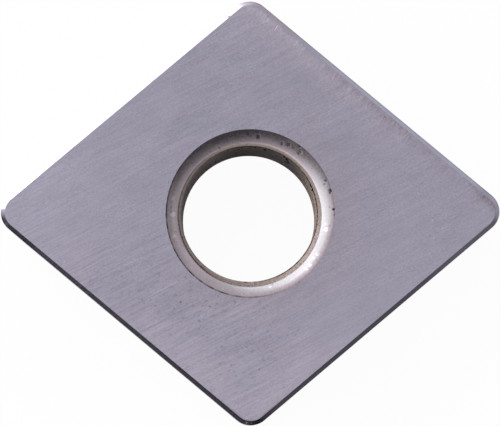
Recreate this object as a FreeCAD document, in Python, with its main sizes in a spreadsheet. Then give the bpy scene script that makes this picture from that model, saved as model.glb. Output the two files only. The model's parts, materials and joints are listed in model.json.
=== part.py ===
"""Indexable turning insert in mixed ceramic: an 80 degree rhombus with rounded noses, a bore through the
middle with a bell mouth at each face, and a ground land all round both faces.

Frame: the long diagonal lies along X and the short one along Y, the bore's axis is Z, and the lower face lies
on z = 0. Lengths are in millimetres and angles in degrees.
"""

import FreeCAD, Part
import math
import os
import Sketcher

SIZES = {
    "inscribed_circle": "12.70",
    "point_angle": "80",
    "thickness": "4.76",
    "nose_radius": "0.80",
    "bore_diameter": "5.16",
    "mouth_diameter": "6.40",
    "throat_diameter": "5.43",
    "mouth_depth": "0.24",
    "lip_angle": "12",
    "throat_depth": "0.36",
    "land_width": "0.16",
    "land_angle": "20",
}

AXES = -1
ALONG_X = -1
ALONG_Y = -2
START, END, CENTRE = range(1, 4)
FLAT = 1e-6


def put_sizes(doc):
    """The driving dimensions, one to a row: its name in column A, its value with that name as alias in B."""
    sheet = doc.addObject("Spreadsheet::Sheet", "sizes")
    for row, (name, value) in enumerate(SIZES.items(), start=1):
        sheet.set(f"A{row}", name)
        sheet.set(f"B{row}", value)
        sheet.setAlias(f"B{row}", name)
    doc.recompute()
    return sheet


def origin_plane(body, role):
    """The body's own origin plane with the given role."""
    return next(feature for feature in body.Origin.OriginFeatures if feature.Role == role)


def new_sketch(body, name, role):
    """An empty sketch on one of the body's origin planes."""
    sketch = body.newObject("Sketcher::SketchObject", name)
    sketch.AttachmentSupport = [(origin_plane(body, role), "")]
    sketch.MapMode = "FlatFace"
    return sketch


def fix(sketch, kind, *where):
    """Adds a geometric constraint."""
    sketch.addConstraint(Sketcher.Constraint(kind, *where))


def drive(sketch, name, expression, kind, *where):
    """Adds a constraint with a size, names it and binds it to the sheet."""
    index = sketch.addConstraint(Sketcher.Constraint(kind, *where))
    sketch.renameConstraint(index, name)
    sketch.setExpression(f"Constraints.{name}", expression)


def draw_outline(body, sheet):
    """The rhombus with sharp corners on the axes, its sides tangent to the inscribed circle."""
    sketch = new_sketch(body, "outline", "XY_Plane")
    radius = sheet.inscribed_circle / 2
    half_point = math.radians(sheet.point_angle / 2)
    reach_x = radius / math.sin(half_point)
    reach_y = radius / math.cos(half_point)
    right, top, left, bottom = (
        FreeCAD.Vector(reach_x, 0, 0),
        FreeCAD.Vector(0, reach_y, 0),
        FreeCAD.Vector(-reach_x, 0, 0),
        FreeCAD.Vector(0, -reach_y, 0),
    )
    ends = [(right, top), (top, left), (left, bottom), (bottom, right)]
    sides = [sketch.addGeometry(Part.LineSegment(start, end), False) for start, end in ends]
    circle = sketch.addGeometry(Part.Circle(FreeCAD.Vector(), FreeCAD.Vector(0, 0, 1), radius), True)

    for side, following, axis in zip(sides, sides[1:] + sides[:1], (ALONG_X, ALONG_Y) * 2):
        fix(sketch, "Coincident", side, END, following, START)
        fix(sketch, "PointOnObject", side, START, axis)
    fix(sketch, "Coincident", circle, CENTRE, AXES, START)
    fix(sketch, "Tangent", sides[0], circle)
    fix(sketch, "Parallel", sides[0], sides[2])
    fix(sketch, "Parallel", sides[1], sides[3])
    drive(sketch, "circle", "sizes.inscribed_circle", "Diameter", circle, 2 * radius)
    drive(sketch, "point", "sizes.point_angle", "Angle", sides[0], START, sides[3], END, 2 * half_point)
    return sketch


def draw_bore(body, sheet):
    """The bore's circle on the lower face."""
    sketch = new_sketch(body, "bore_circle", "XY_Plane")
    radius = sheet.bore_diameter / 2
    circle = sketch.addGeometry(Part.Circle(FreeCAD.Vector(), FreeCAD.Vector(0, 0, 1), radius), False)
    fix(sketch, "Coincident", circle, CENTRE, AXES, START)
    drive(sketch, "bore", "sizes.bore_diameter", "Diameter", circle, 2 * radius)
    return sketch


def draw_mouth(body, sheet):
    """Half the section of the lower mouth, to be turned about the bore's axis.

    From the face the bell curves inwards on one arc, whose tangent leaves the face at the lip angle. It ends
    at the throat, and a short cone leads from there to the bore.
    """
    sketch = new_sketch(body, "mouth_section", "XZ_Plane")
    lip = math.radians(sheet.lip_angle)
    rim = FreeCAD.Vector(sheet.mouth_diameter / 2, 0, 0)
    throat = FreeCAD.Vector(sheet.throat_diameter / 2, sheet.mouth_depth, 0)
    bore = FreeCAD.Vector(sheet.bore_diameter / 2, sheet.mouth_depth + sheet.throat_depth, 0)
    inward = rim.x - throat.x
    gap = throat.y * math.cos(lip) - inward * math.sin(lip)
    radius = (inward**2 + throat.y**2) / (2 * gap)
    centre = rim + FreeCAD.Vector(math.sin(lip), math.cos(lip), 0) * radius
    upright = FreeCAD.Vector(0, 0, 1)
    from_angle = math.atan2(throat.y - centre.y, throat.x - centre.x)
    to_angle = math.atan2(rim.y - centre.y, rim.x - centre.x)
    circle = Part.Circle(centre, upright, radius)

    bell = sketch.addGeometry(Part.ArcOfCircle(circle, from_angle, to_angle), False)
    cone = sketch.addGeometry(Part.LineSegment(throat, bore), False)
    inner = sketch.addGeometry(Part.LineSegment(bore, FreeCAD.Vector(0, bore.y, 0)), False)
    axis = sketch.addGeometry(Part.LineSegment(FreeCAD.Vector(0, bore.y, 0), FreeCAD.Vector()), False)
    face = sketch.addGeometry(Part.LineSegment(FreeCAD.Vector(), rim), False)
    spoke = sketch.addGeometry(Part.LineSegment(rim, centre), True)

    fix(sketch, "Coincident", bell, START, cone, START)
    fix(sketch, "Coincident", cone, END, inner, START)
    fix(sketch, "Coincident", inner, END, axis, START)
    fix(sketch, "Coincident", axis, END, face, START)
    fix(sketch, "Coincident", face, END, bell, END)
    fix(sketch, "Coincident", face, START, AXES, START)
    fix(sketch, "Coincident", spoke, START, face, END)
    fix(sketch, "Coincident", spoke, END, bell, CENTRE)
    fix(sketch, "Horizontal", face)
    fix(sketch, "Horizontal", inner)
    fix(sketch, "Vertical", axis)
    drive(sketch, "rim", "sizes.mouth_diameter / 2", "DistanceX", AXES, START, face, END, rim.x)
    drive(sketch, "throat", "sizes.throat_diameter / 2", "DistanceX", AXES, START, cone, START, throat.x)
    drive(sketch, "depth", "sizes.mouth_depth", "DistanceY", AXES, START, cone, START, throat.y)
    drive(sketch, "bore", "sizes.bore_diameter / 2", "DistanceX", AXES, START, cone, END, bore.x)
    drive(sketch, "cone", "sizes.throat_depth", "DistanceY", cone, START, cone, END, bore.y - throat.y)
    drive(sketch, "lip", "90 - sizes.lip_angle", "Angle", spoke, math.pi / 2 - lip)
    return sketch


def edges_where(shape, test):
    """The names of the shape's edges that pass the test."""
    return [f"Edge{number}" for number, edge in enumerate(shape.Edges, start=1) if test(edge)]


def is_upright(edge):
    """True for a straight edge along Z."""
    box = edge.BoundBox
    return box.XLength < FLAT and box.YLength < FLAT


def is_level(edge):
    """True for an edge that lies in a plane of constant z."""
    return edge.BoundBox.ZLength < FLAT


def make_insert(doc, sheet):
    """The insert: blank, noses, lands, bore, then the lower mouth and its mirror image above."""
    body = doc.addObject("PartDesign::Body", "insert")
    body.Label = "insert"

    blank = body.newObject("PartDesign::Pad", "blank")
    blank.Profile = draw_outline(body, sheet)
    blank.setExpression("Length", "sizes.thickness")
    doc.recompute()

    noses = body.newObject("PartDesign::Fillet", "noses")
    noses.Base = (blank, edges_where(blank.Shape, is_upright))
    noses.setExpression("Radius", "sizes.nose_radius")
    doc.recompute()

    lands = body.newObject("PartDesign::Chamfer", "lands")
    lands.Base = (noses, edges_where(noses.Shape, is_level))
    lands.ChamferType = "Distance and Angle"
    lands.FlipDirection = True
    lands.setExpression("Size", "sizes.land_width")
    lands.setExpression("Angle", "sizes.land_angle")
    doc.recompute()

    bore = body.newObject("PartDesign::Pocket", "bore")
    bore.Profile = draw_bore(body, sheet)
    bore.Type = "ThroughAll"
    bore.Reversed = True
    doc.recompute()

    mouth = body.newObject("PartDesign::Groove", "lower_mouth")
    mouth.Profile = draw_mouth(body, sheet)
    mouth.ReferenceAxis = (mouth.Profile[0], ["V_Axis"])
    mouth.Angle = 360
    doc.recompute()

    middle = body.newObject("PartDesign::Plane", "middle")
    middle.AttachmentSupport = [(origin_plane(body, "XY_Plane"), "")]
    middle.MapMode = "FlatFace"
    middle.setExpression("AttachmentOffset.Base.z", "sizes.thickness / 2")
    doc.recompute()

    mirrored = body.newObject("PartDesign::Mirrored", "upper_mouth")
    mirrored.Originals = [mouth]
    mirrored.MirrorPlane = (middle, [""])
    body.Tip = mirrored
    doc.recompute()
    return body


def check(doc, bodies):
    """Stops before anything is written if a feature failed or a solid isn't sound."""
    failed = [item.Name for item in doc.Objects if {"Invalid", "Error"} & set(item.State)]
    if failed:
        raise RuntimeError(f"failed features: {failed}")
    for body in bodies:
        if body.Shape.isNull() or not body.Shape.isValid() or len(body.Shape.Solids) != 1:
            raise RuntimeError(f"{body.Label} isn't one sound solid")


def main():
    doc = FreeCAD.newDocument("turning_insert")
    sheet = put_sizes(doc)
    bodies = [make_insert(doc, sheet)]
    doc.recompute()
    check(doc, bodies)
    os.makedirs("parts", exist_ok=True)
    for body in bodies:
        body.Shape.exportStep(f"parts/{body.Label}.step")
        box = body.Shape.optimalBoundingBox(False)
        print(
            f"{body.Label}: {box.XLength:.3f} x {box.YLength:.3f} x {box.ZLength:.3f} mm, {body.Shape.Volume:.2f} mm3"
        )


main()
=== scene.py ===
"""The ceramic turning insert dressed for its portrait: one closed surface with honed edges, bell mouths and
small pits, six ceramic finishes, and a white floor under an even sky with a large soft window at the back
left.

Lengths are in metres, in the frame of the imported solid: the bore's axis is Z and the lower face lies on
z = 0.
"""

import json
import math

import bpy
import numpy as np
from mathutils import Euler, Matrix, Vector


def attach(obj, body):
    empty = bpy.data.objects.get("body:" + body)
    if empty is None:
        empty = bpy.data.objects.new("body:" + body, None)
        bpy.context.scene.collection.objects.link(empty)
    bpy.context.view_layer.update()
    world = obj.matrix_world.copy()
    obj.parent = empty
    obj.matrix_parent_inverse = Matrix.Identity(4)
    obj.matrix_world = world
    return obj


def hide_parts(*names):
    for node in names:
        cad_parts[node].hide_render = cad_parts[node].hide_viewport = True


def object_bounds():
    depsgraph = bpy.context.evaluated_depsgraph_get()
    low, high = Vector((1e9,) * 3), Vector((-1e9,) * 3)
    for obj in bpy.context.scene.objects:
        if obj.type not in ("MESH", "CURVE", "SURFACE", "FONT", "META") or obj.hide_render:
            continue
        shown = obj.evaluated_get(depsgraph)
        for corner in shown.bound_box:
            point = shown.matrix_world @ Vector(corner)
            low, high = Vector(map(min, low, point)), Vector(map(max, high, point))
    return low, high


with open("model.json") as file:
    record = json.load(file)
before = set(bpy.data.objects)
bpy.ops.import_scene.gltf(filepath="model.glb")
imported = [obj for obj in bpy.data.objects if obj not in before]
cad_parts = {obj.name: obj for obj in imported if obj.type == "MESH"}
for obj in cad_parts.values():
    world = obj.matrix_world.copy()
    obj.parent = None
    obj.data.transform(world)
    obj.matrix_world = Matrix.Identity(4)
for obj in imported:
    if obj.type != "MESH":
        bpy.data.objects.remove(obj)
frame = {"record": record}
cad_low, cad_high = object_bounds()

MM = 0.001
mounts = {mount["name"]: mount for mount in frame["record"]["mounts"]}

# Sizes that the solid has too
THICKNESS = cad_high.z - cad_low.z
SIDE_DISTANCE = math.hypot(*mounts["side_right_back"]["pos_m"][:2])
SIDE_AZIMUTH = math.atan2(*reversed(mounts["side_right_back"]["axis"][:2]))
BORE_RADIUS = mounts["bore"]["dims"]["r_mm"] * MM
NOSE_RADIUS = 0.80 * MM
MOUTH_RADIUS = 3.20 * MM
THROAT_RADIUS = 2.715 * MM
MOUTH_DEPTH = 0.24 * MM
THROAT_DEPTH = 0.36 * MM
LIP_ANGLE = math.radians(12)
LAND_WIDTH = 0.16 * MM
LAND_ANGLE = math.radians(20)
LAND_DROP = LAND_WIDTH * math.tan(LAND_ANGLE)
# Where the bell ends and the throat starts, in mm above the lower face
LIP_HEIGHT = (THICKNESS - MOUTH_DEPTH) / MM

# Fine form that only the dressed surface has
WALL_HONE = 0.012 * MM
LAND_HONE = 0.030 * MM
RIM_HONE = 0.016 * MM
LIP_HONE = 0.060 * MM
BORE_HONE = 0.030 * MM
# Spacing of the rows that keep the surface flat beside a honed edge
SUPPORT = 0.006 * MM
# How steep the edge of a mark in the mouth is: 1 for a plain round cap
MARK_SLOPE = 1.6
# How far the rim, the lip to the throat and the bore lie off the axis
MOUTH_SHIFT = ((0.0, -0.055 * MM), (-0.028 * MM, -0.090 * MM), (-0.044 * MM, -0.030 * MM))
# How much wider than the bore the throat still is where its finish ends
THROAT_EDGE = 0.040 * MM

# Points round each nose and along each side, and rows across the face and the bell
NOSE_STATIONS = 34
SIDE_STATIONS = 136
FACE_ROWS = 10
BELL_ROWS = 20

SIDE, LAND, FACE, MOUTH, THROAT, BORE = range(6)

# Pits and flecks in the upper mouth: azimuth in degrees, radius, size and depth in mm, and shade, from 1 for
# dark to -1 for pale
MOUTH_MARKS = (
    (83.8, 2.95, 0.100, 0.012, 1.0),
    (91.5, 3.04, 0.065, 0.006, 0.7),
    (65.5, 2.93, 0.080, 0.008, 0.8),
    (60.8, 3.00, 0.090, 0.010, 1.0),
    (56.6, 3.00, 0.060, 0.006, 0.7),
    (53.6, 3.15, 0.060, 0.006, 0.9),
    (50.8, 2.99, 0.090, 0.008, 0.6),
    (23.3, 3.11, 0.055, 0.006, 0.8),
    (21.0, 3.03, 0.050, 0.005, 0.5),
    (15.7, 3.15, 0.075, 0.008, 1.0),
    (14.2, 3.12, 0.055, 0.006, 0.9),
    (2.6, 3.155, 0.060, 0.006, 1.0),
    (115.0, 2.76, 0.085, 0.006, 0.5),
    (105.6, 2.74, 0.060, 0.006, 0.3),
    (99.6, 2.72, 0.075, 0.005, 0.4),
    (348.0, 2.92, 0.100, 0.003, -1.0),
    (352.0, 2.86, 0.060, 0.003, -0.8),
    (329.0, 2.98, 0.100, 0.003, -1.0),
    (325.0, 2.90, 0.075, 0.003, -1.0),
    (319.0, 2.97, 0.095, 0.003, -1.0),
    (315.0, 2.98, 0.080, 0.003, -1.0),
    (301.0, 2.70, 0.100, 0.003, -1.0),
    (284.5, 2.88, 0.070, 0.003, -1.0),
    (168.5, 3.00, 0.100, 0.002, -1.0),
    (180.5, 2.92, 0.120, 0.002, -1.0),
    (196.5, 3.00, 0.095, 0.002, -1.0),
    (222.0, 2.98, 0.080, 0.002, -0.6),
    (250.0, 3.02, 0.075, 0.002, -0.5),
)

# Colours of the ground finishes, unworn and worn, and of the pressed ones, at the left and back and at the
# right and front, where the mouth's colour is the neutral tint of its painted highlight
CERAMIC = (0.330, 0.310, 0.385)
WORN = (0.334, 0.294, 0.358)
MOUTH_COLOURS = ((0.338, 0.290, 0.322), (0.325, 0.312, 0.332))
THROAT_COLOURS = ((0.37, 0.262, 0.230), (0.38, 0.295, 0.270))
BORE_COLOURS = ((0.134, 0.123, 0.127), (0.420, 0.340, 0.305))
EDGE_TINT = (0.5, 0.5, 0.5, 1)
# Angle of the face's grinding lines to X in degrees
GRIND_ANGLE = 27.0

# Single scratches on the face: x and y in mm, angle in degrees, length and width in mm, strength
FACE_SCRATCHES = (
    (1.00, 7.02, 58, 0.34, 0.06, 0.60),
    (0.72, 7.28, 60, 0.24, 0.05, 0.30),
    (2.10, 6.25, 55, 0.35, 0.07, 0.20),
    (-7.02, -1.88, 50, 0.20, 0.05, 0.40),
    (6.88, -0.33, 145, 0.12, 0.05, 0.35),
    (7.35, -0.62, 24, 0.90, 0.03, 0.22),
    (-1.60, 6.10, 24, 1.10, 0.03, 0.12),
    (1.40, 4.60, 20, 1.40, 0.03, 0.12),
    (-4.80, 1.30, 30, 1.30, 0.03, 0.14),
    (-1.30, -5.35, 25, 2.60, 0.05, -0.16),
    (-0.40, -5.60, 24, 2.40, 0.03, 0.12),
    (3.20, -2.90, 28, 1.80, 0.03, 0.12),
    (-3.62, -4.70, 100, 0.30, 0.05, -0.22),
    (-3.80, -4.66, 60, 0.26, 0.04, 0.25),
    (-3.52, -4.84, 120, 0.22, 0.04, 0.22),
    (-2.42, -5.92, 70, 0.22, 0.06, -0.22),
)
# The same for the land: a nick, a pale fleck, and two painted glints at the bottom nose
LAND_MARKS_AND_PAINTED_GLINTS = (
    (-0.79, 7.45, 30, 0.13, 0.11, -0.85),
    (-7.87, -1.46, 40, 0.12, 0.08, 0.60),
    (-0.16, -7.95, 60, 0.12, 0.08, 2.2),
    (0.02, -7.96, 90, 0.09, 0.07, 1.4),
)

# Pits in the bore's wall: azimuth in degrees and height of the middle, width and length down the wall in mm
BORE_PITS = (
    (55.5, 3.65, 0.20, 1.30),
    (58.5, 3.95, 0.12, 0.80),
    (54.0, 2.85, 0.20, 1.30),
    (56.5, 2.45, 0.13, 0.90),
    (21.0, 3.95, 0.16, 1.00),
    (24.5, 4.10, 0.12, 0.70),
    (76.0, 3.65, 0.15, 0.90),
    (69.0, 2.20, 0.08, 0.60),
    (84.5, 3.90, 0.10, 0.50),
    (96.0, 3.80, 0.12, 0.50),
    (98.5, 3.30, 0.08, 0.60),
    (108.0, 3.70, 0.10, 0.60),
    (120.0, 1.90, 0.15, 0.90),
    (134.0, 3.50, 0.10, 0.70),
    (158.0, 3.90, 0.14, 0.60),
    (163.0, 3.60, 0.12, 0.70),
)

# Soft areas of the sky: azimuth and angle from the zenith of the middle, angles from there to the edge and to
# the full part, and how many times as bright as the even sky it is there
SKY_AREAS = (
    (126, 49, 17, 2, 1.59),
    (153, 103, 90, 15, 3.01),
    (236, 29, 24, 13, 0.17),
    (284, 39, 19, 6, 0.18),
    (300, 22, 17, 11, 0.30),
    (321, 38, 23, 13, 0.37),
    (298, 58, 58, 6, 0.50),
    (5, 35, 27, 13, 0.55),
)
# The even sky: its level above and near the horizon, and the heights on the dome between which it changes
SKY_LEVEL = 0.979
HORIZON_LEVEL = 1.200
SKY_BAND = (0.1, 0.65)

# The floor: its half width in metres, its colour, and the share of plain white in what is seen of it
FLOOR_REACH = 2.0
FLOOR_COLOUR = (0.9, 0.9, 0.9, 1)
FLOOR_WHITE = 0.96

# The camera: its distance, its lean to the left and to the front and its roll in degrees, and where it aims
CAMERA_DISTANCE = 100 * MM
CAMERA_LEAN = (0.34, 4.70)
CAMERA_ROLL = -0.14
CAMERA_AIM = (-0.012 * MM, -0.042 * MM)
# Pixels to the mm, the picture's width in pixels and the sensor's in mm, and the nearest and farthest seen
SCALE = 26.45
PICTURE_WIDTH = 500
SENSOR = 36
CLIP = (0.01, 10)


def unit(azimuth):
    """Unit vectors in the plane at the given azimuths."""
    return np.stack([np.cos(azimuth), np.sin(azimuth)], axis=-1)


def outline():
    """Points round the rhombus and the outward normals there, anticlockwise from the right nose.

    A nose is an arc about a point on the axis that lies one nose radius inside both its sides. A side is
    the straight run from one nose to the next.
    """
    half_turns = (SIDE_AZIMUTH, math.pi / 2 - SIDE_AZIMUTH)
    arcs = []
    for corner in range(4):
        half_turn = half_turns[corner % 2]
        towards = corner * math.pi / 2
        centre = unit(towards) * (SIDE_DISTANCE - NOSE_RADIUS) / math.cos(half_turn)
        azimuth = np.linspace(towards - half_turn, towards + half_turn, NOSE_STATIONS + 1)
        arcs.append((centre + NOSE_RADIUS * unit(azimuth), unit(azimuth)))
    points, normals = [], []
    for (arc, facing), (next_arc, _) in zip(arcs, arcs[1:] + arcs[:1]):
        share = np.linspace(0, 1, SIDE_STATIONS, endpoint=False)[1:, None]
        points += [arc, arc[-1] * (1 - share) + next_arc[0] * share]
        normals += [facing, np.repeat(facing[-1:], len(share), axis=0)]
    return np.concatenate(points), np.concatenate(normals)


def inset_of(flat):
    """How far inside the outline each point lies.

    All four quarters are alike, so the point is moved to the first. There the inset is the distance to the
    side, or in the sector of a nose the nose radius less the distance to the nose's centre.
    """
    place = np.abs(flat)
    towards = unit(SIDE_AZIMUTH)
    inset = SIDE_DISTANCE - place @ towards
    for axis in range(2):
        arm = place.copy()
        arm[..., axis] -= (SIDE_DISTANCE - NOSE_RADIUS) / towards[axis]
        in_sector = arm[..., axis] * towards[1 - axis] > arm[..., 1 - axis] * towards[axis]
        inset = np.where(in_sector, NOSE_RADIUS - np.linalg.norm(arm, axis=-1), inset)
    return inset


def round_corners(points, radii, steps):
    """A run of straight lines with each corner that has a radius replaced by an arc tangent to both lines."""
    run = [points[0]]
    for before, corner, after, radius in zip(points, points[1:], points[2:], radii):
        if not radius:
            run.append(corner)
            continue
        start = (before - corner) / np.linalg.norm(before - corner)
        end = (after - corner) / np.linalg.norm(after - corner)
        half = math.acos(np.clip(start @ end, -1, 1)) / 2
        middle = (start + end) / np.linalg.norm(start + end)
        centre = corner + middle * radius / math.sin(half)
        first = corner + start * radius / math.tan(half) - centre
        last = corner + end * radius / math.tan(half) - centre
        sweep = math.pi - 2 * half
        for share in np.linspace(0, 1, steps + 1):
            arm = first * math.sin((1 - share) * sweep) + last * math.sin(share * sweep)
            run.append(centre + arm / math.sin(sweep))
    run.append(points[-1])
    return np.array(run)


def fill(start, end, count):
    """Evenly spaced points between two points, without the ends."""
    share = np.linspace(0, 1, count + 2)[1:-1, None]
    return list(np.array(start) * (1 - share) + np.array(end) * share)


def outer_section():
    """Half the section at the rim, as inset from the outline and height above mid-thickness.

    It runs from the wall over the land to the face, with both edges honed.
    """
    top = THICKNESS / 2
    edge = np.array([0, top - LAND_DROP])
    shoulder = np.array([LAND_WIDTH, top])
    inside = np.array([LAND_WIDTH + 4 * SUPPORT, top])
    below = edge - [0, WALL_HONE + SUPPORT]
    wall = [np.array([0.0, 0.0])] + fill((0, 0), below, 2) + [below]
    land = fill(edge, shoulder, 3)
    points = wall + [edge] + land + [shoulder, inside]
    radii = [0] * (len(wall) - 1) + [WALL_HONE] + [0] * len(land) + [LAND_HONE]
    return round_corners(points, radii, 3)


def inner_section():
    """Half the section at the hole, as radius and height above mid-thickness: face, bell, throat, bore.

    The bell is one arc that leaves the face at the lip angle and ends at the throat's radius and depth.
    """
    top = THICKNESS / 2
    inward = MOUTH_RADIUS - THROAT_RADIUS
    reach = MOUTH_DEPTH * math.cos(LIP_ANGLE) - inward * math.sin(LIP_ANGLE)
    radius = (inward**2 + MOUTH_DEPTH**2) / (2 * reach)
    centre = np.array([MOUTH_RADIUS + radius * math.sin(LIP_ANGLE), top - radius * math.cos(LIP_ANGLE)])
    last_lean = math.asin((centre[0] - THROAT_RADIUS) / radius)
    lean = np.linspace(LIP_ANGLE, last_lean, BELL_ROWS)
    bell = list(centre + radius * np.stack([-np.sin(lean), np.cos(lean)], axis=-1))
    lip = bell.pop()
    bell.pop()
    bore = np.array([BORE_RADIUS, top - MOUTH_DEPTH - THROAT_DEPTH])
    below = bore - [0, BORE_HONE + SUPPORT]
    outside = bell[0] + [4 * SUPPORT, 0]
    middle = np.array([BORE_RADIUS, 0.0])
    cone = fill(lip, bore, 3)
    points = [outside] + bell + [lip] + cone + [bore, below] + fill(below, middle, 4) + [middle]
    radii = [RIM_HONE] + [0] * (len(bell) - 1) + [LIP_HONE] + [0] * len(cone) + [BORE_HONE]
    radii += [0] * (len(points) - 2 - len(radii))
    return round_corners(points, radii, 4)


def finish_of_rows(outer, inner):
    """The finish of the band that starts at each row of the half section, from the wall in to the bore."""
    rim = np.where(outer[:, 0] < LAND_WIDTH - SUPPORT, LAND, FACE)
    rim = np.where(outer[:, 1] < THICKNESS / 2 - LAND_DROP - WALL_HONE / 2, SIDE, rim)
    depth = THICKNESS / 2 - inner[:, 1]
    hole = np.where(inner[:, 0] > MOUTH_RADIUS, FACE, MOUTH)
    hole = np.where(depth > MOUTH_DEPTH, THROAT, hole)
    hole = np.where(inner[:, 0] < BORE_RADIUS + THROAT_EDGE, BORE, hole)
    return np.concatenate([rim, np.full(FACE_ROWS, FACE), hole])


def mark_mouth(points):
    """The depth of the marks at each point of the mouth and the upper throat, and their shade.

    Each mark is a round cap, cut off flat in the middle.
    """
    dents = np.zeros(points.shape[:2])
    shade = np.zeros(points.shape[:2])
    for turn, radius, size, dent, tint in MOUTH_MARKS:
        spot = radius * MM * unit(np.radians(turn)) + MOUTH_SHIFT[0]
        away = np.linalg.norm(points - spot, axis=-1) / (size * MM)
        mark = np.clip(MARK_SLOPE * (1 - away**2), 0, 1)
        dents += dent * MM * mark
        shade += tint * mark
    return dents, shade


def grid():
    """The whole surface as rows of points round the insert, the finish from each row on, and two attributes.

    Row by row it goes up the wall, over the land, in across the face, down through the hole and back out
    underneath, and the last row meets the first. A row at the rim is the outline moved inwards by its inset,
    a row at the hole is a circle, and a row on the face lies between the two.
    """
    rim, facing = outline()
    azimuth = np.arctan2(rim[:, 1], rim[:, 0])
    outer, inner = outer_section(), inner_section()
    top = THICKNESS / 2
    depth = top - inner[:, 1]
    depths = (0, MOUTH_DEPTH, MOUTH_DEPTH + THROAT_DEPTH)
    shift = np.stack([np.interp(depth, depths, offsets) for offsets in zip(*MOUTH_SHIFT)], axis=-1)

    at_rim = rim - outer[:, 0, None, None] * facing
    at_hole = inner[:, 0, None, None] * unit(azimuth) + shift[:, None]
    share = np.linspace(0, 1, FACE_ROWS + 2)[1:-1, None, None]
    across = at_rim[-1] * (1 - share) + at_hole[0] * share
    flat = np.concatenate([at_rim, across, at_hole])
    height = np.concatenate([outer[:, 1], np.full(FACE_ROWS, top), inner[:, 1]])
    height = np.repeat(height[:, None], len(rim), axis=1)

    dents, shade = np.zeros((2, *height.shape))
    in_mouth = (inner[:, 0] < MOUTH_RADIUS) & (depth < MOUTH_DEPTH + THROAT_DEPTH / 2)
    hole = slice(len(outer) + FACE_ROWS, None)
    dents[hole], shade[hole] = np.array(mark_mouth(at_hole)) * in_mouth[:, None]

    upper = np.concatenate([flat, (height - dents)[..., None]], axis=-1)
    lower = np.concatenate([flat, -height[..., None]], axis=-1)[-2:0:-1]
    points = np.concatenate([upper, lower]) + [0, 0, top]
    finish = finish_of_rows(outer, inner)
    finish = np.concatenate([finish[:-1], finish[-2::-1]])
    attributes = {
        "shade": np.concatenate([shade, np.zeros(lower.shape[:2])]),
        "inset": inset_of(points[..., :2]) / MM,
    }
    return points, finish, attributes


def make_mesh(name, points, finish, attributes):
    """A mesh of quads over a grid that closes on itself both ways, its faces pointing outwards."""
    rows, columns = points.shape[:2]
    row, column = np.meshgrid(np.arange(rows), np.arange(columns), indexing="ij")
    next_row, next_column = (row + 1) % rows, (column + 1) % columns
    corners = ((row, column), (row, next_column), (next_row, next_column), (next_row, column))
    quads = np.stack([a * columns + b for a, b in corners], axis=-1).reshape(-1, 4)
    mesh = bpy.data.meshes.new(name)
    mesh.vertices.add(rows * columns)
    mesh.vertices.foreach_set("co", points.astype(np.float32).ravel())
    mesh.loops.add(quads.size)
    mesh.loops.foreach_set("vertex_index", quads.astype(np.int32).ravel())
    mesh.polygons.add(len(quads))
    mesh.polygons.foreach_set("loop_start", np.arange(0, quads.size, 4, dtype=np.int32))
    mesh.polygons.foreach_set("material_index", finish.repeat(columns).astype(np.int32))
    mesh.polygons.foreach_set("use_smooth", np.ones(len(quads), dtype=bool))
    mesh.update(calc_edges=True)
    mesh.validate()
    for key, values in attributes.items():
        attribute = mesh.attributes.new(key, "FLOAT", "POINT")
        attribute.data.foreach_set("value", values.astype(np.float32).ravel())
    return mesh


class Nodes:
    """A node tree, with short ways to place and join its nodes."""

    def __init__(self, tree):
        self.tree = tree

    def node(self, kind, **settings):
        node = self.tree.nodes.new(kind)
        for name, value in settings.items():
            setattr(node, name, value)
        return node

    def feed(self, socket, value):
        """Joins a socket to the value where that is another socket, or else sets it."""
        if isinstance(value, bpy.types.NodeSocket):
            self.tree.links.new(value, socket)
        else:
            socket.default_value = value

    def vector(self, operation, first, second=None, scale=None):
        node = self.node("ShaderNodeVectorMath", operation=operation)
        self.feed(node.inputs[0], first)
        if second is not None:
            self.feed(node.inputs[1], second)
        if scale is not None:
            self.feed(node.inputs["Scale"], scale)
        return node.outputs["Value" if operation in ("DOT_PRODUCT", "LENGTH") else "Vector"]

    def math(self, operation, first, second=0.0, third=0.0):
        node = self.node("ShaderNodeMath", operation=operation)
        for socket, value in zip(node.inputs, (first, second, third)):
            self.feed(socket, value)
        return node.outputs[0]

    def ramp(self, value, low, high, from_low=0.0, from_high=1.0):
        """Carries a value smoothly from one range to another and holds it at the ends."""
        node = self.node("ShaderNodeMapRange", interpolation_type="SMOOTHSTEP")
        numbers = {"Value": value, "From Min": from_low, "From Max": from_high, "To Min": low, "To Max": high}
        for name, number in numbers.items():
            self.feed(node.inputs[name], number)
        return node.outputs[0]

    def rise(self, value, start, end):
        """0 up to the start, 1 from the end on, and smooth between."""
        return self.ramp(value, 0.0, 1.0, start, end)

    def fall(self, value, start, end):
        """1 up to the start, 0 from the end on, and smooth between."""
        return self.ramp(value, 1.0, 0.0, start, end)

    def sum(self, base, *parts):
        """A base value plus each part times its weight."""
        for part, weight in parts:
            base = self.math("MULTIPLY_ADD", part, weight, base)
        return base

    def product(self, first, *rest):
        for factor in rest:
            first = self.math("MULTIPLY", first, factor)
        return first


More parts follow.
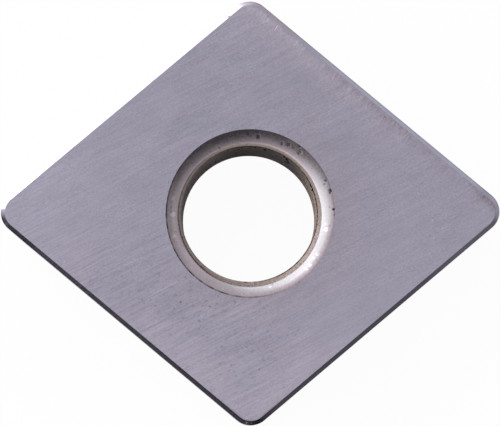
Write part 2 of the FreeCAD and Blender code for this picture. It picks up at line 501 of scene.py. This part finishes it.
class Finish(Nodes):
    """A node material on the insert's own coordinates, in mm."""

    def __init__(self, name):
        self.material = bpy.data.materials.new(name)
        self.material.use_nodes = True
        super().__init__(self.material.node_tree)
        self.shader = self.tree.nodes["Principled BSDF"]
        place = self.node("ShaderNodeTexCoord").outputs["Object"]
        self.place = self.vector("SCALE", place, scale=1 / MM)

    def towards(self, x, y):
        """How far the place lies along this direction in the plane."""
        return self.vector("DOT_PRODUCT", self.place, (x, y, 0.0))

    def past(self, x, y, start, end):
        """0 before the start and 1 past the end, measured along this direction in the plane."""
        return self.rise(self.towards(x, y), start, end)

    def height(self):
        return self.vector("DOT_PRODUCT", self.place, (0.0, 0.0, 1.0))

    def across(self, place):
        """How far this place lies from the axis."""
        return self.vector("LENGTH", self.vector("MULTIPLY", place, (1.0, 1.0, 0.0)))

    def turned(self, degrees):
        """The place turned so that lines at this angle to X lie along X."""
        node = self.node("ShaderNodeMapping")
        self.feed(node.inputs["Vector"], self.place)
        node.inputs["Rotation"].default_value = (0, 0, -math.radians(degrees))
        return node.outputs[0]

    def attribute(self, name):
        return self.node("ShaderNodeAttribute", attribute_name=name).outputs["Fac"]

    def noise(self, place, frequency, detail=2.0, sharpness=0.5):
        """Cloudy noise about zero with so many waves to the mm along each axis of the place."""
        node = self.node("ShaderNodeTexNoise")
        self.feed(node.inputs["Vector"], self.vector("MULTIPLY", place, frequency))
        node.inputs["Scale"].default_value = 1.0
        node.inputs["Detail"].default_value = detail
        node.inputs["Roughness"].default_value = sharpness
        return self.math("SUBTRACT", node.outputs["Fac"], 0.5)

    def specks(self, place, frequency, size, share, flat=True):
        """Specks in some of the cells of a Voronoi pattern: 1 inside and 0 outside."""
        node = self.node("ShaderNodeTexVoronoi", voronoi_dimensions="2D" if flat else "3D")
        self.feed(node.inputs["Vector"], self.vector("MULTIPLY", place, frequency))
        node.inputs["Scale"].default_value = 1.0
        number = self.vector("DOT_PRODUCT", node.outputs["Color"], (1.0, 0.0, 0.0))
        dot = self.fall(node.outputs["Distance"], size * 0.4, size)
        return self.product(self.math("LESS_THAN", number, share), dot)

    def scratch(self, x, y, degrees, length, width):
        """One straight mark with soft ends, 1 at its middle: where it lies, its angle, length and width."""
        node = self.node("ShaderNodeMapping", vector_type="TEXTURE")
        self.feed(node.inputs["Vector"], self.place)
        node.inputs["Location"].default_value = (x, y, THICKNESS / MM)
        node.inputs["Rotation"].default_value = (0, 0, math.radians(degrees))
        node.inputs["Scale"].default_value = (length / 2, width / 2, 1)
        return self.fall(self.vector("LENGTH", node.outputs[0]), 0.3, 1.0)

    def pits(self, table):
        """Dark pits in the bore's wall: 1 in the middle of each and 0 outside."""
        depth = 0.0
        for turn, height, width, length in table:
            spot = (*((BORE_RADIUS * unit(math.radians(turn)) + MOUTH_SHIFT[2]) / MM), height)
            size = (2 / width, 2 / width, 2 / length)
            arm = self.vector("SUBTRACT", self.place, spot)
            away = self.vector("LENGTH", self.vector("MULTIPLY", arm, size))
            depth = self.math("MAXIMUM", depth, self.fall(away, 0.3, 1.0))
        return depth

    def scratches(self, table, base):
        for *where, weight in table:
            base = self.math("MULTIPLY_ADD", self.scratch(*where), weight, base)
        return base

    def paint(self, colour, tone, other=None, share=0.0):
        """Base colour: the colour times the tone, where the share is above 0 mixed with another colour."""
        if other:
            change = tuple(b - a for a, b in zip(colour, other))
            colour = self.vector("ADD", self.vector("SCALE", change, scale=share), colour)
        self.feed(self.shader.inputs["Base Color"], self.vector("SCALE", colour, scale=tone))

    def set(self, **numbers):
        for name, number in numbers.items():
            self.shader.inputs[name.replace("_", " ")].default_value = number

    def metal(self, roughness):
        """Mirrors in the base colour, with a dull tint at grazing angles."""
        self.set(Metallic=1.0, Specular_Tint=EDGE_TINT)
        self.feed(self.shader.inputs["Roughness"], roughness)

    def relief(self, height, distance):
        node = self.node("ShaderNodeBump")
        node.inputs["Distance"].default_value = distance * MM
        self.feed(node.inputs["Height"], height)
        self.feed(self.shader.inputs["Normal"], node.outputs["Normal"])


def front_marks(finish, grind, patches, inset):
    """Specks, dabs and smudges on the face at the front left, as parts of its tone."""
    front_left = finish.product(finish.past(-0.70, -0.72, 0.5, 3.5), finish.past(0.0, -1.0, 1.4, 2.6))
    coarse = finish.specks(grind, (3.3, 4.1, 1.0), 0.22, 0.20)
    fine = finish.specks(finish.place, (6.1, 6.1, 1.0), 0.26, 0.13)
    inner = finish.ramp(inset, 0.15, 1.0, 0.4, 1.8)
    crowded = finish.ramp(patches, 0.4, 1.2, -0.15, 0.15)
    specks = finish.product(front_left, inner, finish.sum(0.0, (coarse, 1.0), (fine, 0.7)), crowded)
    dabs = finish.rise(finish.noise(grind, (4.5, 9.0, 9.0), 2.0), 0.08, 0.22)
    smudges = finish.rise(patches, 0.05, 0.22)
    return (
        (specks, -0.28),
        (finish.product(front_left, dabs), -0.16),
        (finish.product(front_left, smudges), -0.08),
    )


def edge_wear(finish, patches, clouds):
    """Wear on the face along its back right edge, as parts of its tone and parts of its pink.

    It follows the distance from the edge, made ragged by noise. A worn strip with cuts across it lies at the
    edge's middle and by the right nose. A band with pale scuffs narrows towards the top nose, and the scuffs
    grow stronger there.
    """
    back = (math.cos(SIDE_AZIMUTH), math.sin(SIDE_AZIMUTH))
    along = finish.towards(-back[1], back[0])
    depth = finish.math("SUBTRACT", SIDE_DISTANCE / MM, finish.towards(*back))
    strokes = finish.noise(finish.turned(62.0), (1.4, 13.0, 13.0), 2.0, 0.6)
    ragged = finish.sum(depth, (patches, 0.60), (strokes, 0.35))

    beside = finish.product(finish.rise(ragged, 0.12, 0.22), finish.fall(ragged, 0.26, 0.60))
    middle = finish.product(finish.ramp(along, 0.35, 1.0, -5.0, -2.5), finish.fall(along, 0.3, 2.2))
    by_nose = finish.product(finish.ramp(along, 0.7, 0.0, -6.4, -5.4), finish.fall(depth, 0.25, 0.45))
    uneven = finish.ramp(clouds, 0.5, 1.1, -0.15, 0.15)
    worn = finish.product(beside, finish.sum(middle, (by_nose, 1.0)), uneven)
    cuts = finish.product(worn, finish.fall(strokes, -0.14, 0.06))

    steep = finish.rise(finish.noise(finish.turned(58.0), (2.0, 15.0, 15.0), 2.0), 0.04, 0.18)
    near = finish.product(finish.rise(ragged, 0.12, 0.30), finish.fall(ragged, 0.5, 1.3))
    reach = finish.ramp(along, 1.3, 0.55, -1.0, 3.5)
    band = finish.product(finish.rise(ragged, 0.10, 0.24), finish.fall(ragged, 0.3, reach))
    scuffs = finish.product(band, steep, finish.ramp(along, 0.25, 1.0, -3.0, 2.0))
    soft = finish.product(near, finish.rise(along, -4.0, 0.5))
    bright = finish.product(band, finish.rise(along, 1.5, 3.5))
    tone = ((worn, -0.06), (cuts, -0.26), (scuffs, 0.26), (soft, 0.06), (bright, 0.07))
    return tone, ((worn, 1.15), (soft, 0.5))


def rim_tones(finish, inset):
    """Where the face's outermost strip is, and its darker and paler parts by side and by nose, among them a
    painted shade line along the land at the back right, painted shade at the right nose and painted light at
    the left.
    """
    rim = finish.fall(inset, 0.165, 0.215)
    # Painted shade along the land at the back right and at the right nose, and painted light at the left
    behind = finish.past(0.64, 0.77, 4.0, 5.5)
    fore = finish.fall(finish.towards(0.0, 1.0), -1.5, 0.0)
    nose = finish.past(1.0, 0.0, 6.0, 8.6)
    back = finish.past(0.0, 1.0, -0.25, 0.10)
    tip = finish.product(finish.past(0.94, 0.34, 8.0, 8.5), finish.fall(inset, 0.28, 0.42), back)
    low = finish.product(finish.fall(inset, 0.165, 0.24), finish.past(0.0, -1.0, 6.6, 7.4))
    left = finish.past(-1.0, 0.0, 3.5, 8.6)
    return rim, (
        (finish.product(rim, behind), -0.08),
        (finish.product(rim, fore), 0.05),
        (nose, -0.05),
        (tip, -0.11),
        (low, -0.28),
        (left, 0.03),
    )


def hairlines(finish, grind, front):
    """Long fine lines, pale and dark, more at the front."""
    hair = finish.noise(grind, (0.22, 10.0, 10.0), 1.0)
    pale = finish.rise(hair, 0.10, 0.20)
    dark = finish.fall(hair, -0.22, -0.12)
    return finish.product(finish.sum(0.2, (front, 0.8)), finish.sum(0.0, (pale, 1.0), (dark, -1.2)))


def ground_face():
    """Long straight grinding lines over soft clouds, marks at the front, and wear at the back right edge."""
    finish = Finish("ground_face")
    grind = finish.turned(GRIND_ANGLE)
    grain = finish.noise(grind, (12.0, 26.0, 26.0), 1.0)
    lines = finish.noise(grind, (0.75, 15.0, 15.0), 2.0, 0.6)
    streaks = finish.noise(grind, (0.35, 4.0, 4.0), 2.0)
    clouds = finish.noise(finish.place, (0.7, 0.7, 0.7), 3.0)
    patches = finish.noise(finish.place, (2.2, 2.2, 2.2), 2.0)
    mottle = finish.noise(grind, (0.9, 1.8, 1.8), 2.0)
    calm = finish.noise(grind, (0.25, 0.6, 0.6), 1.0)
    wide = finish.across(finish.place)
    inset = finish.attribute("inset")

    front = finish.past(-0.35, -0.94, 1.5, 4.5)
    quiet = finish.rise(calm, -0.12, 0.12)
    vary = finish.sum(0.97, (front, 0.65), (quiet, -0.25))
    even = finish.sum(0.90, (front, -0.10), (quiet, -0.25))
    hem = finish.ramp(finish.towards(0.0, -1.0), 0.2, 1.0, 3.0, 5.5)
    hem = finish.product(hem, front, finish.fall(inset, 0.3, 2.0))
    round_hole = finish.product(finish.past(0.75, -0.66, -2.0, 2.0), finish.fall(wide, 3.3, 4.7))
    crumbs = finish.specks(finish.place, (9.0, 9.0, 1.0), 0.35, 0.22)
    crumbs = finish.product(crumbs, finish.rise(wide, 3.15, 3.22), finish.fall(wide, 3.28, 3.42))
    # Painted light: the face brighter towards the front left and the front right, and further out
    light = finish.past(-0.6, -0.8, -5.0, 5.0)
    front_right = finish.past(0.5, -0.87, -0.5, 5.5)
    rim, rim_parts = rim_tones(finish, inset)
    wear_parts, wear_pink = edge_wear(finish, patches, clouds)

    tone = finish.sum(
        0.99,
        (finish.product(grain, even), 0.60),
        (finish.product(lines, vary), 0.46),
        (hairlines(finish, grind, front), 0.07),
        (finish.product(streaks, vary), 0.10),
        (clouds, 0.19),
        (patches, 0.05),
        (mottle, 0.17),
        *front_marks(finish, grind, patches, inset),
        *wear_parts,
        (round_hole, -0.01),
        (crumbs, -0.20),
        *rim_parts,
        (hem, 0.11),
        # Painted light towards the front left, the front right and further out
        (light, 0.07),
        (front_right, 0.065),
        (finish.rise(wide, 4.0, 9.0), 0.06),
    )
    shared = ((round_hole, 0.7), (front, 0.1), (hem, 0.25), (rim, 0.3), (streaks, 0.8), (clouds, 0.8))
    pink = finish.sum(0.0, *wear_pink, *shared)
    finish.paint(CERAMIC, finish.scratches(FACE_SCRATCHES, tone), WORN, pink)
    finish.metal(finish.sum(0.25, (lines, 0.12), (clouds, 0.05)))
    finish.relief(finish.sum(0.0, (grain, 0.6), (lines, 1.0)), 0.0003)
    return finish.material


def ground_land():
    """The narrow land round each face: fine ribs, and a tone and painted reflections that differ from side to
    side.

    At the left nose a painted dark reflection lies at the front and a painted highlight at the back. A
    painted highlight lies at the back left and towards the right nose at the front right, and a painted dark
    reflection at the front left. Towards the front it darkens next to the face. Small flecks and nicks lie on
    it, and two painted glints at the bottom nose.
    """
    finish = Finish("ground_land")
    ribs = finish.noise(finish.turned(35.0), (5.0, 14.0, 9.0), 2.0)
    patches = finish.noise(finish.place, (1.1, 1.1, 1.1), 2.0)
    inset = finish.attribute("inset")
    outer = finish.fall(inset, 0.025, 0.060)
    brim = finish.product(finish.rise(inset, 0.115, 0.150), finish.past(0.0, -1.0, 4.0, 6.5))

    left = finish.past(-1.0, 0.0, 7.9, 8.3)
    # Painted dark reflection at the front of the left nose, eased further front, and a painted highlight at
    # its back
    painted_dark_reflection = finish.product(left, finish.fall(finish.towards(0.0, 1.0), -0.35, 0.08))
    painted_highlight_left_nose = finish.product(left, finish.past(0.0, 1.0, 0.10, 0.155))
    painted_dark_eased_front = finish.product(left, finish.past(0.0, -1.0, 0.28, 0.52))

    nose = finish.past(1.0, 0.0, 8.4, 9.1)
    top = finish.past(0.0, 1.0, 5.2, 7.0)
    right_of_top = finish.ramp(finish.towards(1.0, 0.0), 0.4, 1.0, -0.3, 0.2)
    pink = finish.product(finish.past(0.0, 1.0, 6.0, 7.2), right_of_top)

    # Painted dark reflection on the land at the front left
    front_left = finish.past(-0.64, -0.77, 5.0, 6.0)
    dull = finish.product(front_left, finish.math("SUBTRACT", 1.0, painted_dark_reflection))
    # Painted highlight on the land at the back left, and as pale at the front right towards the right nose
    painted_highlight_back_left = finish.past(-0.64, 0.77, 5.8, 6.2)
    front_right = finish.past(0.64, -0.77, 5.2, 6.0)
    pale = finish.product(front_right, finish.past(1.0, 0.0, 5.5, 8.5))
    back_right = finish.past(0.64, 0.77, 5.6, 6.1)
    stained = finish.product(back_right, finish.sum(0.0, (nose, 1.5), (top, 1.0)))
    tone = finish.sum(
        1.0,
        (ribs, 0.30),
        (patches, 0.15),
        (outer, -0.20),
        (back_right, 0.05),
        (pale, 0.50),
        (stained, -0.14),
        (brim, -0.30),
        (painted_dark_reflection, -0.88),
        (painted_highlight_left_nose, 1.00),
        (painted_dark_eased_front, 0.20),
        (dull, -0.50),
        (painted_highlight_back_left, 0.34),
        (pink, 0.10),
    )
    tint = finish.sum(0.0, (back_right, -0.6), (nose, 0.6), (pink, 1.9))
    finish.paint(CERAMIC, finish.scratches(LAND_MARKS_AND_PAINTED_GLINTS, tone), WORN, tint)
    finish.metal(finish.sum(0.20, (ribs, 0.10)))
    return finish.material


def ground_side():
    """The side walls: level grinding lines."""
    finish = Finish("ground_side")
    lines = finish.noise(finish.place, (1.0, 1.0, 24.0), 3.0)
    fine = finish.noise(finish.place, (6.0, 6.0, 30.0), 2.0)
    finish.paint(CERAMIC, finish.sum(1.0, (lines, 0.30), (fine, 0.20)))
    finish.metal(finish.sum(0.30, (lines, 0.15)))
    finish.relief(lines, 0.0006)
    return finish.material


def pressed(name, colours, more, metallic, roughness, grain, relief):
    """An unground finish: fine even grain, soft clouds, the marks of the shade attribute, and more parts.

    The second colour is that of the right and front side; on the mouth it is the neutral tint of the painted
    highlight there. It fades out at the mouth's rim.
    """
    left_back_colour, right_front_colour = colours
    finish = Finish(name)
    fine = finish.noise(finish.place, (12.0, 12.0, 12.0), 3.0, 0.6)
    clouds = finish.noise(finish.place, (2.0, 2.0, 2.0), 2.0)
    shade = finish.attribute("shade")
    ragged = finish.noise(finish.place, (14.0, 14.0, 14.0), 1.0)
    dark = finish.rise(finish.product(shade, finish.sum(1.0, (ragged, 1.5))), 0.15, 0.85)
    pale = finish.fall(finish.product(shade, finish.sum(1.0, (ragged, 4.5))), -0.90, -0.30)
    tone = finish.sum(1.0, (fine, grain), (clouds, 0.15), (dark, -0.72), (pale, 0.42), *more(finish))
    inside = finish.ramp(finish.across(finish.place), 1.0, -0.1, 2.97, 3.13)
    # The right and front colour, on the mouth the neutral tint of the painted highlight
    right_front_share = finish.product(finish.past(0.77, -0.64, -0.2, 1.9), inside)
    finish.paint(left_back_colour, tone, right_front_colour, right_front_share)
    finish.set(Metallic=metallic)
    finish.feed(finish.shader.inputs["Roughness"], finish.sum(roughness, (fine, 0.20), (dark, 0.15)))
    finish.relief(fine, relief)
    return finish


def rim_line_and_painted_light(finish):
    """A thin dark line just inside the mouth's rim, broken in places, with painted light and shade by side.

    The back has painted shade towards the rim, the front a painted highlight towards the throat. The lip to
    the throat has a painted highlight at the back and is dark at the right. The inner bell has a painted
    highlight at the right and painted shade at the far left, and the front right painted shade near the rim.
    There are small dark specks all over.
    """
    middle = (*(offset / MM for offset in MOUTH_SHIFT[0]), 0.0)
    radius = finish.across(finish.vector("SUBTRACT", finish.place, middle))
    line = finish.rise(radius, 3.12, 3.18)
    broken = finish.ramp(finish.noise(finish.place, (6.0, 6.0, 6.0), 2.0), 0.5, 1.0, -0.15, 0.12)
    left = finish.past(-0.85, -0.53, 0.5, 3.0)
    front_right = finish.past(0.70, -0.71, 2.2, 3.0)
    strength = finish.sum(0.34, (left, 0.60), (front_right, -0.20))
    # Painted shade at the back towards the rim, painted highlights on the inner bell at the right and front,
    # and painted shade on the inner bell at the far left
    back = finish.product(finish.past(-0.35, 0.94, 1.5, 3.0), finish.rise(radius, 3.00, 3.12))
    right = finish.product(finish.past(0.97, 0.26, 2.2, 2.8), finish.fall(radius, 2.93, 3.10))
    front = finish.product(finish.past(-0.42, -0.91, 2.2, 2.7), finish.fall(radius, 2.78, 2.88))
    far_left = finish.product(finish.past(-1.0, 0.0, 2.45, 2.75), finish.fall(radius, 2.84, 2.94))
    specks = finish.specks(finish.place, (6.0, 6.0, 1.0), 0.30, 0.06)
    height = finish.height()
    pale_lip = finish.fall(height, LIP_HEIGHT + 0.01, LIP_HEIGHT + 0.07)
    dark_lip = finish.fall(height, LIP_HEIGHT + 0.005, LIP_HEIGHT + 0.035)
    return (
        # Painted highlight along the lip at the back
        (finish.product(pale_lip, finish.past(0.0, 1.0, 1.2, 2.3)), 0.48),
        (finish.product(dark_lip, finish.past(0.94, -0.34, 2.1, 2.6)), -0.55),
        (right, 0.10),
        (front, 0.32),
        (far_left, -0.20),
        (finish.product(line, broken, strength), -1.0),
        (back, -0.30),
        # Painted shade near the rim at the front right
        (finish.product(front_right, finish.rise(radius, 2.95, 3.03)), -0.20),
        (specks, -0.30),
    )


def throat_tones_and_painted_lip(finish):
    """Darker on the left and front and at the right, and darkest along the lip at the left.

    At the back a painted highlight lies along the lip, and it is dark below.
    """
    height = finish.height()
    edge = finish.rise(height, LIP_HEIGHT - 0.16, LIP_HEIGHT)
    deep = finish.fall(height, LIP_HEIGHT - 0.34, LIP_HEIGHT - 0.12)
    specks = finish.specks(finish.place, (7.0, 7.0, 1.0), 0.40, 0.25)
    side = finish.past(-0.85, -0.53, -1.2, 1.8)
    left = finish.past(-1.0, 0.0, 0.8, 2.2)
    right = finish.past(0.87, 0.50, 1.6, 2.4)
    back = finish.past(0.0, 1.0, 1.0, 2.2)
    return (
        (side, -0.36),
        (finish.product(left, edge), -0.75),
        # Painted highlight along the lip at the back
        (finish.product(back, edge), 0.32),
        (right, -0.24),
        (back, 0.04),
        (finish.product(back, deep), -0.34),
        (specks, -0.25),
    )


def bore_specks_and_painted_light(finish):
    """Dark specks and a few pits over the bore's wall, painted light deep down, pale at the left, dark at its
    top.
    """
    height = finish.height()
    fine = finish.noise(finish.place, (10.0, 10.0, 2.2), 2.0, 0.7)
    coarse = finish.specks(finish.place, (4.0, 4.0, 1.2), 0.40, 0.3, flat=False)
    # Painted light: paler deep down, more so at the back right
    deep = finish.fall(height, 0.5, 4.0)
    edge = finish.rise(height, 3.95, 4.12)
    left = finish.past(-1.0, 0.0, 0.3, 1.6)
    right = finish.past(0.94, -0.34, 0.8, 2.0)
    right_back = finish.past(0.87, 0.50, 1.2, 2.3)
    return (
        (fine, 1.10),
        (coarse, -0.30),
        # Painted light deep down
        (deep, 0.40),
        (finish.product(deep, right_back), 0.40),
        (left, 0.72),
        (finish.product(edge, finish.sum(1.0, (right, 1.3), (left, -0.9))), -0.35),
        (finish.pits(BORE_PITS), -0.95),
    )


def make_floor():
    """A white sheet that keeps the insert's shadow and shows as white, also in what mirrors it."""
    mesh = bpy.data.meshes.new("floor")
    signs = ((-1, -1), (1, -1), (1, 1), (-1, 1))
    corners = [(x * FLOOR_REACH, y * FLOOR_REACH, 0) for x, y in signs]
    mesh.from_pydata(corners, [], [(0, 1, 2, 3)])
    floor = bpy.data.objects.new("floor", mesh)
    bpy.context.scene.collection.objects.link(floor)
    finish = Finish("white_floor")
    finish.set(Base_Color=FLOOR_COLOUR, Roughness=0.9)
    seen = finish.node("ShaderNodeEmission")
    path = finish.node("ShaderNodeLightPath")
    either = finish.math("MAXIMUM", path.outputs["Is Camera Ray"], path.outputs["Is Glossy Ray"])
    mix = finish.node("ShaderNodeMixShader")
    finish.feed(mix.inputs[0], finish.math("MULTIPLY", either, FLOOR_WHITE))
    finish.feed(mix.inputs[1], finish.shader.outputs[0])
    finish.feed(mix.inputs[2], seen.outputs[0])
    finish.feed(finish.tree.nodes["Material Output"].inputs["Surface"], mix.outputs[0])
    mesh.materials.append(finish.material)


def on_dome(azimuth, from_zenith):
    """The direction at that azimuth and angle from the zenith."""
    turn, lean = math.radians(azimuth), math.radians(from_zenith)
    return (math.sin(lean) * math.cos(turn), math.sin(lean) * math.sin(turn), math.cos(lean))


def make_sky():
    """The light: an even sky, a large soft window at the back left, and dark areas at the front and right."""
    world = bpy.data.worlds.new("sky")
    bpy.context.scene.world = world
    world.use_nodes = True
    sky = Nodes(world.node_tree)
    place = sky.node("ShaderNodeTexCoord").outputs["Generated"]
    height = sky.vector("DOT_PRODUCT", place, (0.0, 0.0, 1.0))
    light = sky.ramp(height, HORIZON_LEVEL, SKY_LEVEL, *SKY_BAND)
    for azimuth, from_zenith, edge, full, level in SKY_AREAS:
        facing = sky.vector("DOT_PRODUCT", place, on_dome(azimuth, from_zenith))
        limits = (math.cos(math.radians(edge)), math.cos(math.radians(full)))
        light = sky.product(light, sky.ramp(facing, 1.0, level, *limits))
    mix = sky.node("ShaderNodeMix")
    sky.feed(mix.inputs["Factor"], sky.node("ShaderNodeLightPath").outputs["Is Camera Ray"])
    sky.feed(mix.inputs["A"], light)
    sky.feed(mix.inputs["B"], 1.0)
    background = sky.tree.nodes["Background"]
    sky.feed(background.inputs["Strength"], mix.outputs["Result"])
    sky.feed(background.inputs["Color"], (1, 1, 1, 1))


def make_camera():
    """The camera leans from straight above to the front and a little left, and turns about its own axis."""
    data = bpy.data.cameras.new("camera")
    camera = bpy.data.objects.new("camera", data)
    bpy.context.scene.collection.objects.link(camera)
    bpy.context.scene.camera = camera
    data.sensor_width = SENSOR
    data.lens = SCALE / MM * CAMERA_DISTANCE / PICTURE_WIDTH * SENSOR
    data.clip_start, data.clip_end = CLIP
    lean_x, lean_y = (math.radians(lean) for lean in CAMERA_LEAN)
    arm = Euler((lean_y, -lean_x, 0)).to_matrix() @ Vector((0, 0, CAMERA_DISTANCE))
    camera.location = Vector((0, 0, THICKNESS)) + arm
    back = (camera.location - Vector((*CAMERA_AIM, THICKNESS))).normalized()
    right = Vector((0, 1, 0)).cross(back).normalized()
    turn = Matrix((right, back.cross(right), back)).transposed()
    camera.rotation_euler = (turn @ Matrix.Rotation(math.radians(CAMERA_ROLL), 3, "Z")).to_euler()


mesh = make_mesh("ceramic_insert", *grid())
insert = bpy.data.objects.new("ceramic_insert", mesh)
bpy.context.scene.collection.objects.link(insert)
mouth = pressed(
    "pressed_mouth", MOUTH_COLOURS, rim_line_and_painted_light, metallic=1.0, roughness=0.30, grain=0.45, relief=0.0010
)
throat = pressed(
    "pressed_throat", THROAT_COLOURS, throat_tones_and_painted_lip, metallic=0.10, roughness=0.50, grain=0.80, relief=0.0015
)
bore = pressed(
    "pressed_bore", BORE_COLOURS, bore_specks_and_painted_light, metallic=0.0, roughness=0.80, grain=0.50, relief=0.0030
)
bore.set(Specular_IOR_Level=0.0)
for material in (ground_side(), ground_land(), ground_face(), mouth.material, throat.material, bore.material):
    mesh.materials.append(material)
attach(insert, "root")
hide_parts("insert")

make_floor()
make_sky()
make_camera()
bpy.context.scene.view_settings.view_transform = "Standard"
